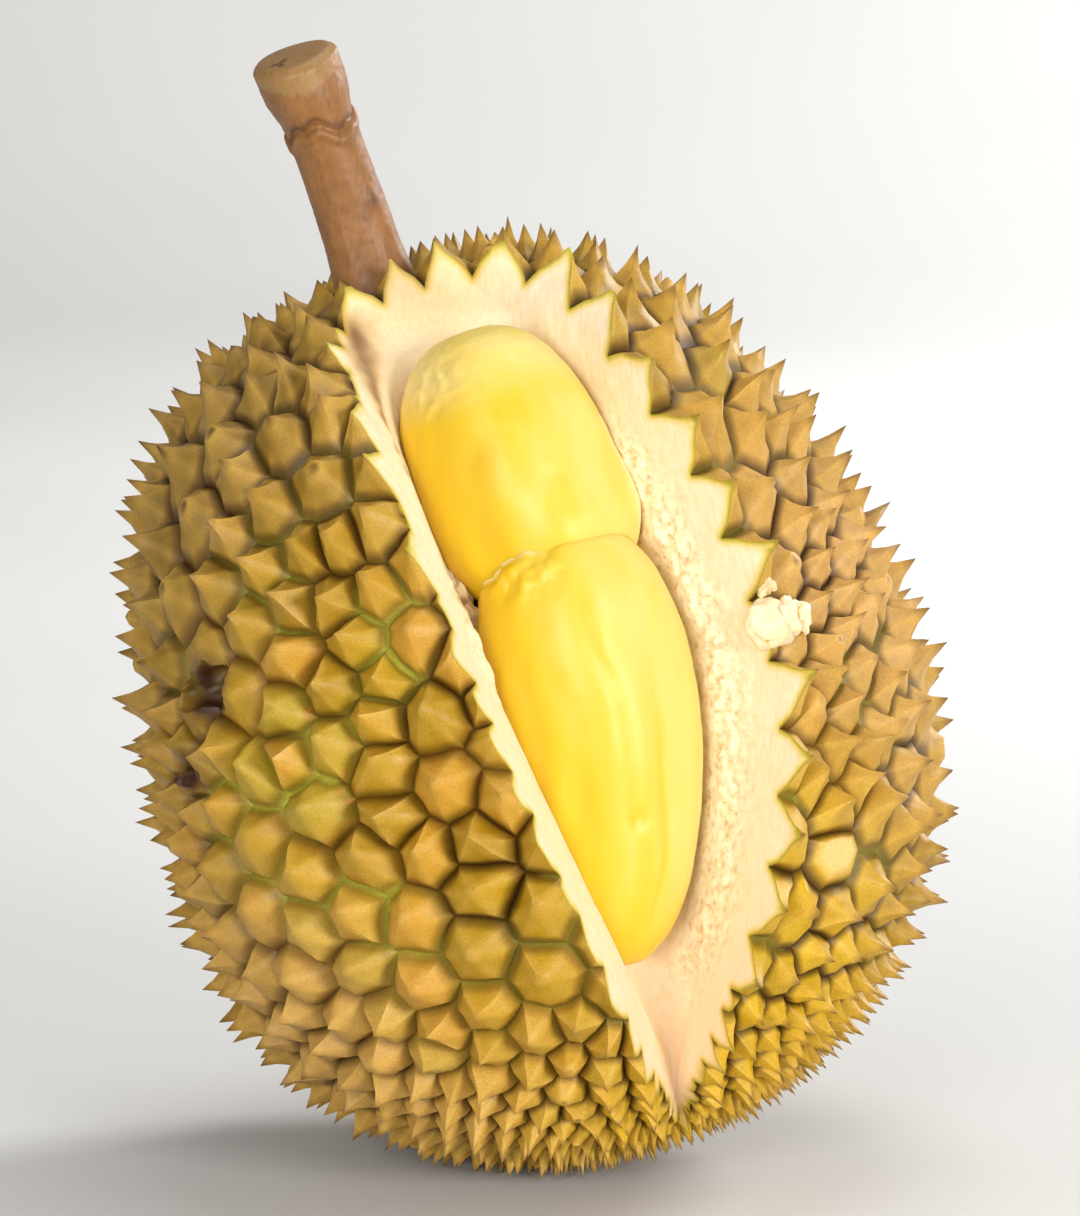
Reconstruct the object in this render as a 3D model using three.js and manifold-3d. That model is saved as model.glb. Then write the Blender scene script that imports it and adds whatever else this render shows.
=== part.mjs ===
// A durian that stands on its blossom end and leans to one side, with one of its lobes opened. The woody
// stalk is on top. A lens-shaped piece of the thick spiny husk is cut away at the front, from the stalk
// almost to the blossom end, and two pods of soft flesh lie bedded in the hollow behind it.
// Millimetres, +Z up, and the opening faces -Y. The fruit's own frame has its centre at the origin: across
// is to the right, forward is towards the opening and along runs up the core to the stalk.
import * as THREE from 'three';
import { ConvexHull } from 'three/addons/math/ConvexHull.js';
import { mergeVertices } from 'three/addons/utils/BufferGeometryUtils.js';
import Module from 'manifold-3d';

// The body, measured in the valleys between the spines
const LEAN = THREE.MathUtils.degToRad(18.5); // the core, from upright, with the stalk to the left
const BODY_RADIUS = 93;
const TOP_HEIGHT = 112; // centre to the stalk end
const BOTTOM_HEIGHT = 111; // centre to the blossom end
const TOP_FULLNESS = 2.5; // 2 would be an ellipse, and more has squarer shoulders
const BOTTOM_FULLNESS = 2.2;
const EGG = 0.1; // how much broader the lower half is than the upper, at its shoulder
const LOBES = 5; // one for each chamber of flesh
const LOBE_RISE = 0.018; // of the radius
const CENTRE_HEIGHT = 115.2; // centre to the surface that it stands on, so the lowest spine tips are worn flat

// The spines
const SPINES = 560;
const SPINE_HEIGHT = 11.5;
const SPINE_WAIST = 0.42; // where a spine narrows, as a share of its height
const WAIST_WIDTH = 0.5; // how wide it is there, as a share of its foot
const STALK_CLEARING = 0.12; // radians round the stalk that carry no spine
const SHORTEST_FOOT = 0.9; // shorter sides of a spine's foot close up to a point
const ROW_PITCH = 0.17; // radians between the spines of the row that the right cut runs through
const ROW_ENDS = [-84, 108]; // along, from near the blossom end to near the stalk
const ROW_REACH = 0.36; // radians from that row within which the other spines make room for it
const ROW_HEIGHT = 1.35; // of a spine in it, against the others
// The row goes on along the back of the opening at the shoulder, where the cut faces another way
const TOP_ROW = [[-5, 23, 110], [5.5, 17.5, 111], [15.5, 14.5, 110]]; // across, forward, along
const TOP_ROW_FACES = [-0.35, 0.94, 0];

// The stalk
const STALK_RADIUS = 9.2;
const STALK_LENGTH = 62; // out of the husk
const STALK_ROOT = 7; // in the husk
const KNOB_RADIUS = 10.7; // at the cut end
const STALK_TILT = [0.002, 0.13]; // to the left and to the front, away from the core

const GAP = 0.35; // between two pieces that touch

const wasm = await Module();
wasm.setup();

// ---- helpers -------------------------------------------------------------------------------------------

let seed = 20731;
const random = () => (seed = (seed * 16807) % 2147483647) / 2147483647;

const fromFruit = (across, forward, along) => new THREE.Vector3(across, -forward, along);

// The fruit's own frame put in the part's frame.
const place = new THREE.Matrix4()
  .makeTranslation(0, 0, CENTRE_HEIGHT)
  .multiply(new THREE.Matrix4().makeRotationY(-LEAN));

function solid(geometry) {
  const plain = new THREE.BufferGeometry();
  plain.setAttribute('position', geometry.getAttribute('position'));
  plain.setIndex(geometry.index);
  const merged = mergeVertices(plain, 1e-4);
  return new wasm.Manifold(new wasm.Mesh({
    numProp: 3,
    vertProperties: merged.attributes.position.array,
    triVerts: new Uint32Array(merged.index.array),
  }));
}

function geometryOf(made) {
  const { vertProperties, triVerts } = made.getMesh();
  const geometry = new THREE.BufferGeometry();
  geometry.setAttribute('position', new THREE.BufferAttribute(vertProperties, 3));
  geometry.setIndex(new THREE.BufferAttribute(triVerts, 1));
  return geometry;
}

// A closed solid through rings of points, each counterclockwise seen from the last one. Its two ends are
// fans round the middle of the end rings.
function loft(rings) {
  const count = rings[0].length;
  const positions = rings.flat().flatMap((p) => p.toArray());
  const triangles = [];
  for (let i = 0; i + 1 < rings.length; i++) {
    for (let k = 0; k < count; k++) {
      const [a, b] = [i * count + k, i * count + ((k + 1) % count)];
      triangles.push(a, b, b + count, a, b + count, a + count);
    }
  }
  for (const [first, turn] of [[0, -1], [(rings.length - 1) * count, 1]]) {
    const middle = new THREE.Vector3();
    for (const p of rings[first / count]) middle.addScaledVector(p, 1 / count);
    const hub = positions.push(...middle.toArray()) / 3 - 1;
    for (let k = 0; k < count; k++) {
      const [a, b] = [first + k, first + ((k + 1) % count)];
      triangles.push(...(turn > 0 ? [a, b, hub] : [b, a, hub]));
    }
  }
  const geometry = new THREE.BufferGeometry();
  geometry.setAttribute('position', new THREE.Float32BufferAttribute(positions, 3));
  geometry.setIndex(triangles);
  return solid(geometry);
}

const smooth = THREE.MathUtils.smoothstep;
const bump = (x, centre, width) => Math.exp(-(((x - centre) / width) ** 2));

// ---- the body's surface --------------------------------------------------------------------------------

// Distance from the centre to the valley-level surface in a direction of the fruit's frame.
function bodyRadius(d) {
  const top = d.z > 0;
  const power = top ? TOP_FULLNESS : BOTTOM_FULLNESS;
  const height = top ? TOP_HEIGHT : BOTTOM_HEIGHT;
  const side = Math.hypot(d.x, d.y);
  const lobe = 1 + LOBE_RISE * side ** 3 * Math.cos(LOBES * (Math.atan2(d.x, -d.y) - 0.35));
  const egg = 1 - EGG * d.z * side;
  return ((side / (BODY_RADIUS * lobe * egg)) ** power + (Math.abs(d.z) / height) ** power) ** (-1 / power);
}

const onBody = (d) => d.clone().multiplyScalar(bodyRadius(d));

function bodyNormal(d) {
  const side = new THREE.Vector3(-d.y, d.x, 0);
  if (side.lengthSq() < 1e-8) return new THREE.Vector3(0, 0, Math.sign(d.z));
  side.normalize();
  const up = new THREE.Vector3().crossVectors(d, side);
  const step = 0.02;
  const at = (s, t) => onBody(d.clone().addScaledVector(side, s).addScaledVector(up, t).normalize());
  const across = at(step, 0).sub(at(-step, 0));
  const along = at(0, step).sub(at(0, -step));
  return across.cross(along).normalize();
}

// ---- the spines ----------------------------------------------------------------------------------------

// How crowded the spines are at an angle from the stalk: most at the blossom end, and more round the stalk.
const crowding = (angle) => 1 + 3.2 * bump(angle, Math.PI, 0.5) + 0.9 * bump(angle, 0.2, 0.35);

// Spine sites on the unit sphere: a spiral that follows the crowding, shaken out of line and then evened.
function spineSites() {
  const steps = 600;
  const share = [0];
  for (let i = 0; i < steps; i++) {
    const angle = STALK_CLEARING + ((Math.PI - STALK_CLEARING) * (i + 0.5)) / steps;
    share.push(share[i] + crowding(angle) * Math.sin(angle));
  }
  const sites = [new THREE.Vector3(0, 0, 1)];
  const turn = Math.PI * (3 - Math.sqrt(5));
  let step = 0;
  for (let i = 0; i < SPINES; i++) {
    const wanted = ((i + 0.5) / SPINES) * share[steps];
    while (share[step + 1] < wanted) step++;
    const part = (wanted - share[step]) / (share[step + 1] - share[step]);
    const angle = STALK_CLEARING + ((Math.PI - STALK_CLEARING) * (step + part)) / steps;
    const shake = 0.1 / Math.sqrt(crowding(angle));
    const polar = angle + shake * (random() - 0.5);
    const round = i * turn + (shake * (random() - 0.5)) / Math.max(Math.sin(angle), 0.1);
    sites.push(new THREE.Vector3().setFromSphericalCoords(1, polar, round).applyAxisAngle(
      new THREE.Vector3(1, 0, 0), Math.PI / 2));
  }
  return sites;
}

// The cells round the sites: each is a ring of corners, in order, that it shares with its neighbours.
function cellsOf(sites) {
  const index = new Map(sites.map((site, i) => [site, i]));
  const corners = [];
  const cells = sites.map(() => []);
  for (const face of new ConvexHull().setFromPoints(sites).faces) {
    const corner = corners.push(face.normal.clone().normalize()) - 1;
    let edge = face.edge;
    do {
      cells[index.get(edge.head().point)].push(corner);
      edge = edge.next;
    } while (edge !== face.edge);
  }
  cells.forEach((cell, i) => {
    const site = sites[i];
    const east = new THREE.Vector3(0.3, 0.8, 0.5).cross(site).normalize();
    const north = new THREE.Vector3().crossVectors(site, east);
    const bearing = (c) => Math.atan2(corners[c].dot(north), corners[c].dot(east));
    cell.sort((a, b) => bearing(a) - bearing(b));
  });
  return { corners, cells };
}

// One evening step: each site that isn't held moves part of the way to the middle of its cell.
function even(sites, held) {
  const { corners, cells } = cellsOf(sites);
  return sites.map((site, i) => {
    if (held.has(i)) return site;
    const middle = new THREE.Vector3();
    for (const c of cells[i]) middle.add(corners[c]);
    return site.clone().lerp(middle.normalize(), 0.6).normalize();
  });
}

// The sites with one row of them brought onto the edge of the opening, where the knife went through those
// spines from tip to foot, and for each of the row its place on the cut and the way out of the cut, into the
// husk. The others near it make room.
function withRow(sites) {
  const [edge, inner] = [RIGHT_EDGE, RIGHT_INNER].map(rail);
  const wanted = TOP_ROW.map((p) => ({ spot: fromFruit(...p), faces: new THREE.Vector3(...TOP_ROW_FACES) }));
  let last = null;
  for (let i = 0; i <= 400; i++) {
    const v = 1 - i / 400;
    const spot = edge.getPoint(v);
    if (spot.z < ROW_ENDS[0] || spot.z > ROW_ENDS[1]) continue;
    const pitch = ROW_PITCH / Math.sqrt(crowding(Math.acos(spot.z / spot.length())));
    if (last && spot.angleTo(last) < pitch) continue;
    const along = edge.getPoint(v - 0.01).sub(edge.getPoint(v + 0.01));
    const faces = spot.clone().sub(inner.getPoint(v)).setZ(0).cross(along).normalize();
    wanted.push({ spot, faces: faces.x > 0 ? faces : faces.negate() });
    last = spot;
  }
  const row = new Map();
  for (const { spot, faces } of wanted) {
    const free = sites.map((_, k) => k).filter((k) => k > 0 && !row.has(k));
    const chosen = free.reduce((a, b) => (sites[b].angleTo(spot) < sites[a].angleTo(spot) ? b : a));
    const where = spot.clone().addScaledVector(faces, 0.4);
    row.set(chosen, { spot: spot.clone().normalize(), faces, where });
  }
  let moved = sites.map((site, i) => row.get(i)?.spot ?? site);
  const far = (site) => [...row.values()].every(({ spot }) => spot.angleTo(site) > ROW_REACH);
  const held = new Set(moved.map((_, i) => i).filter((i) => i === 0 || row.has(i) || far(moved[i])));
  for (let i = 0; i < 3; i++) moved = even(moved, held);
  return { sites: moved, row };
}

// Corners that lie closer together than SHORTEST_FOOT become one.
function joinCorners(corners, cells) {
  const points = corners.map(onBody);
  const same = corners.map((_, i) => i);
  const root = (i) => (same[i] === i ? i : (same[i] = root(same[i])));
  for (const cell of cells) {
    cell.forEach((c, i) => {
      const next = cell[(i + 1) % cell.length];
      if (points[c].distanceTo(points[next]) < SHORTEST_FOOT) same[root(next)] = root(c);
    });
  }
  return {
    points,
    feet: cells.map((cell) => {
      const foot = cell.map(root);
      return foot.filter((c, i) => c !== foot[(i + 1) % foot.length]);
    }),
  };
}

function spinyBody() {
  const stalkSite = new Set([0]);
  const { sites, row } = withRow(even(even(spineSites(), stalkSite), stalkSite));
  const { corners, cells } = cellsOf(sites);
  const { points, feet } = joinCorners(corners, cells);
  const positions = points.flatMap((p) => p.toArray());
  const triangles = [];
  const add = (p) => positions.push(p.x, p.y, p.z) / 3 - 1;
  sites.forEach((site, i) => {
    const foot = feet[i];
    const angle = Math.acos(site.z);
    const normal = bodyNormal(site);
    const centre = new THREE.Vector3();
    for (const c of foot) centre.addScaledVector(points[c], 1 / foot.length);
    let height = SPINE_HEIGHT * (1 - 0.38 * bump(angle, Math.PI, 0.6) - 0.25 * bump(angle, 0, 0.5));
    height *= 0.88 + 0.24 * random();
    const hook = new THREE.Vector3(random() - 0.5, random() - 0.5, 0.6 + random() - 0.5);
    if (i === 0) height = 0.5;
    if (row.has(i)) {
      // A spine that was cut through leans so that it stands along the cut
      const { faces, where } = row.get(i);
      height *= ROW_HEIGHT;
      centre.addScaledVector(faces, where.clone().sub(centre).dot(faces));
      normal.addScaledVector(faces, -normal.dot(faces)).normalize();
      hook.addScaledVector(faces, -hook.dot(faces));
    }
    const waist = foot.map((c) => add(points[c].clone().sub(centre).multiplyScalar(WAIST_WIDTH)
      .add(centre).addScaledVector(normal, height * SPINE_WAIST)));
    const tip = add(centre.clone().addScaledVector(normal, height).addScaledVector(hook, 0.13 * height));
    foot.forEach((c, k) => {
      const next = (k + 1) % foot.length;
      triangles.push(c, foot[next], waist[next], c, waist[next], waist[k], waist[k], waist[next], tip);
    });
  });
  const geometry = new THREE.BufferGeometry();
  geometry.setAttribute('position', new THREE.Float32BufferAttribute(positions, 3));
  geometry.setIndex(triangles);
  return solid(geometry);
}

// ---- the opening ---------------------------------------------------------------------------------------

// Rails that run up the opening, as [across, forward, along]: the two cut edges at the skin, and the two
// inner edges where the cut faces meet the hollow.
const LEFT_EDGE = [
  [6.5, 52, -114], [5.9, 41, -102], [5.4, 58.6, -90], [4.3, 76, -70], [1.9, 90, -40], [-2.6, 92.5, 0],
  [-6.4, 87.5, 40], [-10, 73.5, 75], [-12, 57, 95], [-13, 38, 106], [-13.5, 30, 120], [-14, 24, 134],
];
const LEFT_INNER = [
  [6.6, 50, -114], [6.1, 40, -102], [7.2, 50, -90], [7.4, 61, -70], [5, 73, -40], [0.6, 76.5, 0],
  [-2.6, 71.5, 40], [-5.6, 58, 75], [-7.6, 42, 95], [-9.2, 27, 106], [-9.5, 24, 120], [-9.8, 21, 134],
];
const RIGHT_INNER = [
  [7.4, 50, -114], [6.9, 40, -102], [9, 50.5, -90], [19.5, 55.5, -70], [36.5, 60, -40], [48.8, 54, 0],
  [47, 47, 40], [40.5, 36, 75], [32, 24.5, 95], [22.5, 14.5, 106], [19, 14, 120], [16, 13.5, 134],
];
const RIGHT_EDGE = [
  [7.5, 52, -114], [7.2, 40.8, -102], [13.2, 58, -90], [27.5, 73, -70], [48, 77, -40],
  [63, 67.5, 0], [61.5, 60.5, 40], [51.5, 50, 75], [42.5, 33.5, 95], [30, 19, 106], [26, 17, 120],
  [22.5, 15, 134],
];
// How deep the hollow is below the line between the inner edges
const HOLLOW_DEPTH = [0.1, 0.1, 1, 9, 24, 34, 34, 28, 12, 4, 2, 1.5];
const KNIFE_REACH = 34; // how far past the skin the two cuts are carried
const LOBE_REACH = 52; // how far past the skin the piece between them is taken away
const OPENING_ROWS = 26;
const HOLLOW_STEPS = 6;

const rail = (points) => new THREE.CatmullRomCurve3(points.map((p) => fromFruit(...p)), false, 'catmullrom');

function openingCutter() {
  const [left, leftIn, rightIn, right] = [LEFT_EDGE, LEFT_INNER, RIGHT_INNER, RIGHT_EDGE].map(rail);
  const depth = rail(HOLLOW_DEPTH.map((d, i) => [0, d, i]));
  const sections = [];
  for (let i = 0; i <= OPENING_ROWS; i++) {
    const t = i / OPENING_ROWS;
    const [l, li, ri, r] = [left, leftIn, rightIn, right].map((c) => c.getPoint(t));
    const beyond = (edge, inner) => {
      const out = edge.clone().sub(inner).setZ(0);
      if (out.length() < 2) out.set(edge === l ? -0.3 : 0.4, -1, 0);
      return edge.clone().addScaledVector(out.normalize(), KNIFE_REACH);
    };
    const middle = l.clone().add(r).multiplyScalar(0.5);
    const front = middle.clone().setZ(0).normalize().multiplyScalar(LOBE_REACH).add(middle);
    const section = [beyond(l, li), front, beyond(r, ri), ri];
    const chord = li.clone().sub(ri).setZ(0).normalize();
    const inward = new THREE.Vector3(-chord.y, chord.x, 0).negate();
    for (let k = 1; k < HOLLOW_STEPS; k++) {
      const s = k / HOLLOW_STEPS;
      section.push(ri.clone().lerp(li, s)
        .addScaledVector(inward, -depth.getPoint(t).y * Math.sin(Math.PI * s) ** 0.75));
    }
    section.push(li);
    sections.push(section);
  }
  return loft(sections);
}

// ---- the flesh pods ------------------------------------------------------------------------------------

const POD_ROWS = 20;
const POD_COLUMNS = 26;

// A pod about its own long axis, from the lower end to the upper one, swollen by extra on all sides.
// folds is how deep the lengthwise creases are, taper how much slimmer the lower end is, and blunt how
// pointed the upper end is, from 0.5, square, to 1.
function pod({ lower, upper, width, depth, blunt, taper, folds, phase }, extra = 0) {
  const start = fromFruit(...lower);
  const end = fromFruit(...upper);
  const axis = end.clone().sub(start);
  const half = axis.length() / 2 + extra;
  axis.normalize();
  const middle = start.lerp(end, 0.5);
  const side = new THREE.Vector3(0, 1, 0).cross(axis).normalize();
  const back = new THREE.Vector3().crossVectors(axis, side);
  const sections = [];
  for (let i = 0; i <= POD_ROWS; i++) {
    const polar = Math.PI * (0.02 + (0.96 * i) / POD_ROWS);
    const up = -Math.cos(polar);
    const girth = Math.sin(polar) ** (up > 0 ? blunt : 0.86) * (1 + taper * (up - 0.2));
    const section = [];
    for (let k = 0; k < POD_COLUMNS; k++) {
      const round = (2 * Math.PI * k) / POD_COLUMNS;
      const crease = folds * (Math.cos(5 * round + phase + 0.9 * up) + 0.6 * Math.cos(3 * round - 2 * phase))
        * Math.sin(polar);
      section.push(middle.clone().addScaledVector(axis, up * half)
        .addScaledVector(side, Math.cos(round) * girth * (width / 2 + extra + crease))
        .addScaledVector(back, Math.sin(round) * girth * (depth / 2 + extra + crease)));
    }
    sections.push(section);
  }
  return loft(sections);
}

const UPPER_POD = {
  lower: [18.5, 48, 28], upper: [16.5, 34, 98.5], width: 51, depth: 45,
  blunt: 0.66, taper: -0.06, folds: 0.5, phase: 1.1,
};
const LOWER_POD = {
  lower: [6.5, 59, -58], upper: [25, 54, 50], width: 54, depth: 46,
  blunt: 0.8, taper: 0.16, folds: 0.7, phase: 0.4,
};

// ---- the stalk -----------------------------------------------------------------------------------------

function stalk(extra = 0) {
  const rows = 26;
  const columns = 20;
  const root = fromFruit(-2.5, 0, TOP_HEIGHT - STALK_ROOT - extra);
  const total = STALK_LENGTH + STALK_ROOT + extra;
  const sections = [];
  for (let i = 0; i <= rows + 1; i++) {
    const t = Math.min(i / rows, 1);
    const knob = smooth(t, 0.74, 0.88) * (KNOB_RADIUS - STALK_RADIUS);
    const crack = -0.9 * bump(t, 0.745, 0.012) + 0.7 * bump(t, 0.715, 0.02);
    const rim = i > rows ? -2.2 : i === rows ? -0.7 : 0;
    const radius = STALK_RADIUS + knob + crack + rim + extra + 0.8 * bump(t, 0.1, 0.1);
    const bend = 1.4 * Math.sin(Math.PI * t);
    const centre = new THREE.Vector3(STALK_TILT[0] * total * t + bend, -STALK_TILT[1] * total * t * t,
      total * t + (i > rows ? 0.5 : 0)).add(root);
    const section = [];
    for (let k = 0; k < columns; k++) {
      const round = (2 * Math.PI * k) / columns;
      const uneven = extra ? 0.4 : 0.35 * Math.cos(3 * round + 5 * t) + 0.3 * Math.cos(2 * round - 7 * t + 1);
      section.push(new THREE.Vector3((radius + uneven) * Math.cos(round), (radius + uneven)
        * Math.sin(round), 0).applyAxisAngle(new THREE.Vector3(1, 0, 0), 2 * STALK_TILT[1] * t).add(centre));
    }
    sections.push(section);
  }
  return loft(sections);
}

// ---- the pieces ----------------------------------------------------------------------------------------

const ground = solid(new THREE.BoxGeometry(400, 400, 400).translate(0, 0, 200));

const lowerPod = pod(LOWER_POD);
const upperPod = pod(UPPER_POD).subtract(pod(LOWER_POD, GAP));
const stalkSolid = stalk();
const opened = spinyBody()
  .subtract(openingCutter())
  .subtract(pod(LOWER_POD, GAP))
  .subtract(pod(UPPER_POD, GAP))
  .subtract(stalk(GAP));

const fruit = new THREE.Group();

function piece(name, made, material) {
  const geometry = geometryOf(made).applyMatrix4(place);
  const mesh = new THREE.Mesh(geometry, new THREE.MeshStandardMaterial(material));
  mesh.name = name;
  fruit.add(mesh);
  return mesh;
}

piece('stalk', stalkSolid, { color: 0xa0703c, roughness: 0.62, metalness: 0 });
piece('flesh_upper', upperPod, { color: 0xf3cf45, roughness: 0.38, metalness: 0 });
piece('flesh_lower', lowerPod, { color: 0xf7d437, roughness: 0.38, metalness: 0 });
const husk = piece('husk', opened, { color: 0xb08c3e, roughness: 0.7, metalness: 0 });
husk.geometry = geometryOf(solid(husk.geometry).intersect(ground));

// The origin is at the middle of the whole part's footprint.
const bounds = new THREE.Box3().setFromObject(fruit, true);
const middle = bounds.getCenter(new THREE.Vector3());
fruit.position.set(-middle.x, -middle.y, 0);

export default fruit;
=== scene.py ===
import math

import bmesh
import bpy
import numpy as np
from mathutils import Matrix, Vector, noise
from mathutils.bvhtree import BVHTree
from mathutils.kdtree import KDTree


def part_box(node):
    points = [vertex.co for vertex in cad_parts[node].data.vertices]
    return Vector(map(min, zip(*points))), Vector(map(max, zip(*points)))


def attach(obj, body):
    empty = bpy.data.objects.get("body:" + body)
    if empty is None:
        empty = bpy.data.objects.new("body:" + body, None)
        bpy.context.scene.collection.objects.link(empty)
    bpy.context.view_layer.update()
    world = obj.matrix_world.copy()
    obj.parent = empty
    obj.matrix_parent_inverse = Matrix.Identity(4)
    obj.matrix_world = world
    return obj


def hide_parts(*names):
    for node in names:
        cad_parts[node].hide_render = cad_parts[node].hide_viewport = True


# The looks of a durian that stands on its blossom end, with one lobe opened: the spiny skin, the cream pith
# of the cut, the two pods of flesh behind it and the woody stalk. Shapes are made in the fruit's own frame,
# in millimetres: x across, -y out of the opening and z up the core. PLACE then puts them in the frame.

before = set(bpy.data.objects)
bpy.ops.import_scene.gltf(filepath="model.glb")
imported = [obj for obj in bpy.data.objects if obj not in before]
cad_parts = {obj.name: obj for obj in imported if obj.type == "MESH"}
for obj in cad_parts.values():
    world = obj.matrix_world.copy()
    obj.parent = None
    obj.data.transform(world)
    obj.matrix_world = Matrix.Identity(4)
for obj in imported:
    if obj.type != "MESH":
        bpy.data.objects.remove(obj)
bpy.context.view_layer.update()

MM = 0.001

# ---- driving dimensions, as the frame's solids have them -----------------------------------------------

LEAN = math.radians(18.5)
BODY_RADIUS = 93
TOP_HEIGHT, TOP_FULLNESS = 112, 2.5
BOTTOM_HEIGHT, BOTTOM_FULLNESS = 111, 2.2
EGG = 0.1
LOBES, LOBE_RISE = 5, 0.018
CENTRE_HEIGHT = 115.2

SPINES = 560
SPINE_HEIGHT = 11.5
HOOK = 0.13  # of a spine's height
STALK_CLEARING = 0.12
SHORTEST_FOOT = 0.9
ROW_PITCH, ROW_ENDS, ROW_REACH = 0.17, (-84, 108), 0.36
TOP_ROW, TOP_ROW_FACES = [(-5, 23, 110), (5.5, 17.5, 111), (15.5, 14.5, 110)], Vector((-0.35, 0.94, 0))
SMALL_ONES = (1.95, 2.5)  # the angles from the stalk where small spines begin and where they are everywhere
TINY_ONES = 0.42  # the angle from the blossom end within which the spines are tiny
MORE = 0.3  # the chance of another spine between three
BROAD_ONES = Vector((-0.42, -0.85, -0.1))  # where the broadest spines are
STOOP = 0.3  # how far a tip stands towards the stalk, against the reach of its foot
SPINE_CUTS = 3  # how finely a side of a spine is divided
ROW_HEIGHT = 1.35  # of the spines that the cuts went through, against the others
KNIFE_REACH, LOBE_REACH = 34, 52

STALK_RADIUS, KNOB_RADIUS = 9.2, 10.7
STALK_LENGTH, STALK_ROOT = 62, 7
STALK_TILT = (0.002, 0.13)

GAP = 0.35  # between two pieces that touch
POD_GAP = 0.04  # between the flesh and what it grew against, whose shape it took

UPPER_POD = dict(lower=(18.5, 48, 28), upper=(16.5, 34, 98.5), width=51, depth=45,
                 blunt=0.66, taper=-0.06, folds=0.5, phase=1.1)
LOWER_POD = dict(lower=(6.5, 59, -58), upper=(25, 54, 50), width=54, depth=46,
                 blunt=0.8, taper=0.16, folds=0.7, phase=0.4)

LOWER_CREASES = [(4.5, 0.35, 0.12, -0.9, 0.5), (4.95, 0.5, 0.09, -0.5, 0.9), (5.35, 0.4, 0.07, -0.9, 0.3),
                 (4.1, 0.3, 0.12, -0.4, 0.8)]
UPPER_CREASES = [(4.4, 0.4, 0.2, -0.9, 0.4), (5.0, 0.4, 0.22, -0.3, 0.9)]

LOWER_SEED, UPPER_SEED = 2, 6  # of how the creases wander

POD_ROWS, POD_COLUMNS = 20, 26  # of the solids

# How finely the surfaces are divided, as rows and columns. A pod and its bed are divided alike, so that they
# keep the same gap all over.
POD_GRID = (130, 140)
OPENING_GRID = (214, 158)
STALK_GRID, STALK_BED_GRID = (170, 96), (60, 48)
SHORTEST_EDGE = 0.3  # shorter ones don't count towards how hollow the surface is
LUMP_STEPS = 4

# Rails that run up the opening, as (across, forward, along)
LEFT_EDGE = [
    (6.5, 52, -114), (5.9, 41, -102), (5.4, 58.6, -90), (4.3, 76, -70), (1.9, 90, -40), (-2.6, 92.5, 0),
    (-6.4, 87.5, 40), (-10, 73.5, 75), (-12, 57, 95), (-13, 38, 106), (-13.5, 30, 120), (-14, 24, 134)]
LEFT_INNER = [
    (6.6, 50, -114), (6.1, 40, -102), (7.2, 50, -90), (7.4, 61, -70), (5, 73, -40), (0.6, 76.5, 0),
    (-2.6, 71.5, 40), (-5.6, 58, 75), (-7.6, 42, 95), (-9.2, 27, 106), (-9.5, 24, 120), (-9.8, 21, 134)]
RIGHT_INNER = [
    (7.4, 50, -114), (6.9, 40, -102), (9, 50.5, -90), (19.5, 55.5, -70), (36.5, 60, -40), (48.8, 54, 0),
    (47, 47, 40), (40.5, 36, 75), (32, 24.5, 95), (22.5, 14.5, 106), (19, 14, 120), (16, 13.5, 134)]
RIGHT_EDGE = [
    (7.5, 52, -114), (7.2, 40.8, -102), (13.2, 58, -90), (27.5, 73, -70), (48, 77, -40),
    (63, 67.5, 0), (61.5, 60.5, 40), (51.5, 50, 75), (42.5, 33.5, 95), (30, 19, 106), (26, 17, 120),
    (22.5, 15, 134)]
HOLLOW_DEPTH = [0.1, 0.1, 1, 9, 24, 34, 34, 28, 12, 4, 2, 1.5]

# ---- helpers -------------------------------------------------------------------------------------------

UP = Vector((0, 0, 1))


def bump(x, centre, width):
    return math.exp(-(((x - centre) / width) ** 2))


def smooth(x, low, high):
    part = min(max((x - low) / (high - low), 0), 1)
    return part * part * (3 - 2 * part)


def from_fruit(across, forward, along):
    return Vector((across, -forward, along))


def grain(point, size, seed=0.0):
    """Smooth noise from -1 to 1 whose lumps are about size millimetres across."""
    return noise.noise(point / size + Vector((seed, 0.37 * seed, -seed)))


class Chance:
    """A seeded row of draws from 0 to 1, made in the same way as those of the frame's own solids."""

    def __init__(self, seed):
        self.state = seed

    def draw(self):
        self.state = (self.state * 16807) % 2147483647
        return self.state / 2147483647


def rail(points):
    """A smooth curve through the points, from 0 at the first to 1 at the last."""
    points = [Vector(p) for p in points]
    points = [2 * points[0] - points[1]] + points + [2 * points[-1] - points[-2]]

    def at(part):
        spot = part * (len(points) - 3)
        i = min(int(spot), len(points) - 4)
        t = spot - i
        a, b, c, d = points[i:i + 4]
        return 0.5 * (2 * b + (c - a) * t + (2 * a - 5 * b + 4 * c - d) * t * t
                      + (3 * b - a - 3 * c + d) * t ** 3)
    return at


def skin(rows, columns, place):
    """A closed bmesh: a grid rolled into a tube, with place(v, u) giving the point at the share v up it and
    the share u round it. Ends that come to a point close by themselves and others are filled."""
    bm = bmesh.new()
    bmesh.ops.create_grid(bm, x_segments=columns, y_segments=rows, size=0.5)
    for vert in bm.verts:
        u, v = vert.co.x + 0.5, vert.co.y + 0.5
        vert.co = place(v, u % 1.0 if u < 0.999999 else 0.0)
    bmesh.ops.remove_doubles(bm, verts=bm.verts, dist=1e-4)
    bmesh.ops.holes_fill(bm, edges=[e for e in bm.edges if e.is_boundary])
    bmesh.ops.recalc_face_normals(bm, faces=bm.faces)
    return bm


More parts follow.
